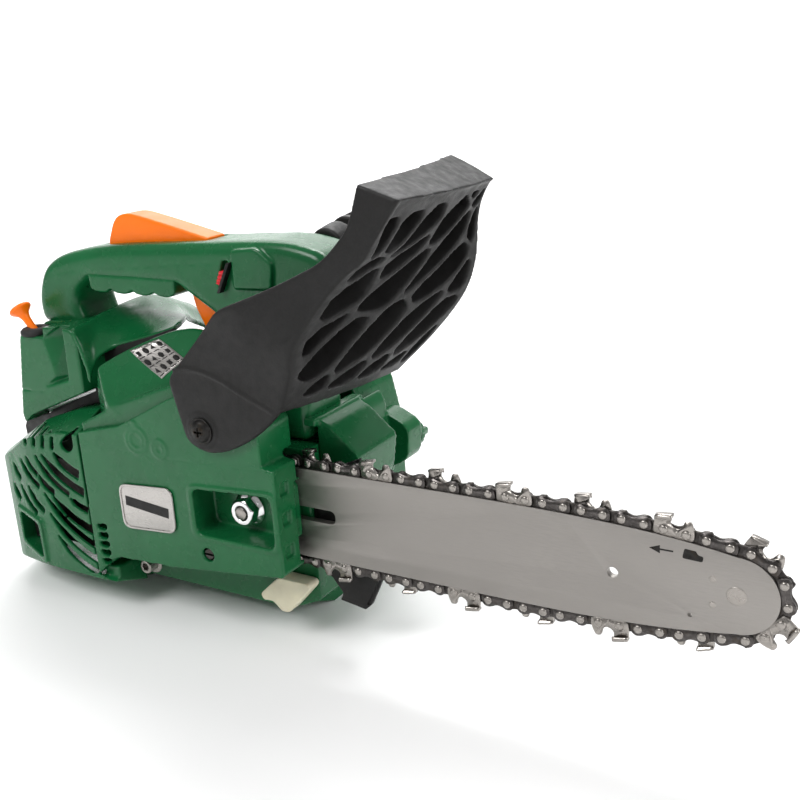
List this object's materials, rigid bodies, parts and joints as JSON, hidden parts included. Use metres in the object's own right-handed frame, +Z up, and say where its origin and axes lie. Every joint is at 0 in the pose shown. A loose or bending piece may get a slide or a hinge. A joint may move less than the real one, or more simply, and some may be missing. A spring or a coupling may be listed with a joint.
{
  "type": "petrol top-handle chainsaw",
  "caption": "Compact petrol chainsaw with a top handle, guide bar and chain, tall front hand guard, grille-covered muffler and recoil starter.",
  "frame": {"origin": "on the flat underside of the base, straight under the crankshaft's axis", "axes": "+X along the guide bar towards its nose, +Y to the starter side, +Z up"},
  "size_m": [0.4962, 0.1845, 0.262],
  "materials": {
    "green_plastic": "satin moulded plastic",
    "black_plastic": "fine-grained moulded plastic",
    "orange_plastic": "smooth moulded plastic",
    "red_plastic": "smooth moulded plastic",
    "nylon": "natural nylon, slightly translucent",
    "black_rubber": "matte rubber",
    "bar_steel": "ground satin steel",
    "chain_steel": "dark oiled steel with bright cutters",
    "bright_steel": "bright turned steel",
    "dark_steel": "dark heat-stained steel",
    "black_steel": "black oxide",
    "chrome": "bright zinc plate",
    "badge_aluminium": "brushed aluminium foil",
    "cast_aluminium": "as cast",
    "filter_foam": "open foam"
  },
  "bodies": {
    "chassis": {"saw_chain": "chain_steel", "brake_band": "bright_steel", "clutch_cover": "green_plastic", "badge_plate": "badge_aluminium", "bar_stud": "bright_steel", "bar_nut": "chrome", "chain_catcher": "nylon", "crankcase": "green_plastic", "oil_pump": "cast_aluminium", "main_bearing_right": "bright_steel", "main_bearing_left": "bright_steel", "cylinder": "cast_aluminium", "spark_plug": "chrome", "plug_boot": "black_rubber", "ignition_coil": "black_plastic", "starter_housing": "green_plastic", "recoil_spring": "bright_steel", "base_shell": "green_plastic", "fuel_tank": "green_plastic", "oil_tank": "green_plastic", "bumper_spike": "black_plastic", "case_bolt": "bright_steel", "muffler_cover": "green_plastic", "muffler": "dark_steel", "carburettor": "cast_aluminium", "intake_boot": "black_rubber", "air_filter": "filter_foam", "air_filter_cover": "green_plastic", "choke_grommet": "black_rubber", "primer_base": "black_plastic", "cylinder_cover": "green_plastic", "engine_shroud": "green_plastic", "top_handle": "green_plastic", "handle_grip": "green_plastic", "side_handle": "black_plastic", "guard_screw": "black_steel"},
    "bar": {"guide_bar": "bar_steel", "tension_pin": "bright_steel"},
    "nose": {"nose_sprocket": "dark_steel"},
    "drum": {"clutch_drum": "dark_steel"},
    "crank": {"crankshaft": "bright_steel", "clutch_hub": "dark_steel", "clutch_shoe_1": "dark_steel", "clutch_shoe_2": "dark_steel", "clutch_shoe_3": "dark_steel", "clutch_spring": "bright_steel", "flywheel": "cast_aluminium"},
    "piston": {"piston": "cast_aluminium"},
    "tensioner": {"tension_screw": "dark_steel"},
    "guard": {"hand_guard": "black_plastic"},
    "trigger": {"throttle_trigger": "orange_plastic"},
    "lockout": {"throttle_lockout": "orange_plastic"},
    "switch": {"stop_switch": "red_plastic"},
    "choke": {"choke_knob": "orange_plastic"},
    "primer": {"primer_bulb": "nylon"},
    "starter_grip": {"starter_handle": "black_plastic"},
    "pulley": {"starter_pulley": "black_plastic"},
    "oil_filler_cap": {"oil_cap": "green_plastic"},
    "fuel_filler_cap": {"fuel_cap": "black_plastic"}
  },
  "joints": [
    {"name": "crank_spin", "type": "hinge", "parent": "chassis", "child": "crank", "pos_m": [0, -0.02, 0.08], "axis": [0, 1, 0], "continuous": true},
    {"name": "drum_spin", "type": "hinge", "parent": "chassis", "child": "drum", "pos_m": [0, -0.06, 0.08], "axis": [0, 1, 0], "continuous": true},
    {"name": "nose_spin", "type": "hinge", "parent": "bar", "child": "nose", "pos_m": [0.32, -0.05, 0.08], "axis": [0, 1, 0], "continuous": true},
    {"name": "bar_tension", "type": "slide", "parent": "chassis", "child": "bar", "axis": [1, 0, 0], "range_m": [-0.005, 0]},
    {"name": "tensioner_turn", "type": "hinge", "parent": "chassis", "child": "tensioner", "pos_m": [0.039, -0.065, 0.055], "axis": [0, 1, 0], "range_deg": [-1800, 0]},
    {"name": "piston_stroke", "type": "slide", "parent": "chassis", "child": "piston", "axis": [0, 0, 1], "range_m": [-0.028, 0]},
    {"name": "guard_tilt", "type": "hinge", "parent": "chassis", "child": "guard", "pos_m": [0.05, -0.077, 0.131], "axis": [0, 1, 0], "range_deg": [0, 10]},
    {"name": "trigger_squeeze", "type": "hinge", "parent": "chassis", "child": "trigger", "pos_m": [0.027, -0.02, 0.195], "axis": [0, 1, 0], "range_deg": [0, 10], "stiffness_Nm_per_rad": 0.3},
    {"name": "lockout_press", "type": "hinge", "parent": "chassis", "child": "lockout", "pos_m": [0.018, -0.02, 0.216], "axis": [0, -1, 0], "range_deg": [0, 7], "stiffness_Nm_per_rad": 0.8, "springref_deg": -5.73},
    {"name": "switch_slide", "type": "slide", "parent": "chassis", "child": "switch", "axis": [0, 0, 1], "range_m": [0, 0.004]},
    {"name": "choke_pull", "type": "slide", "parent": "chassis", "child": "choke", "axis": [-0.6, 0, 0.8], "range_m": [0, 0.01]},
    {"name": "primer_press", "type": "slide", "parent": "chassis", "child": "primer", "axis": [0, -1, 0], "range_m": [0, 0.0035], "stiffness_N_per_m": 400},
    {"name": "starter_pull", "type": "slide", "parent": "chassis", "child": "starter_grip", "axis": [0, 0, 1], "range_m": [0, 0.5], "stiffness_N_per_m": 6, "springref_m": -0.08},
    {"name": "pulley_turn", "type": "hinge", "parent": "chassis", "child": "pulley", "pos_m": [0, 0.04, 0.08], "axis": [0, 1, 0], "range_deg": [0, 1290]},
    {"name": "oil_cap_turn", "type": "hinge", "parent": "chassis", "child": "oil_filler_cap", "pos_m": [0.103, 0.04, 0.096], "axis": [0, 1, 0], "range_deg": [-540, 0]},
    {"name": "fuel_cap_turn", "type": "hinge", "parent": "chassis", "child": "fuel_filler_cap", "pos_m": [-0.084, 0.058, 0.052], "axis": [0, 1, 0], "range_deg": [-540, 0]}
  ],
  "couplings": [
    {"joint": "nose_spin", "follows": "drum_spin", "ratio": 0.85714},
    {"joint": "pulley_turn", "follows": "starter_pull", "rad_per_m": 45}
  ]
}
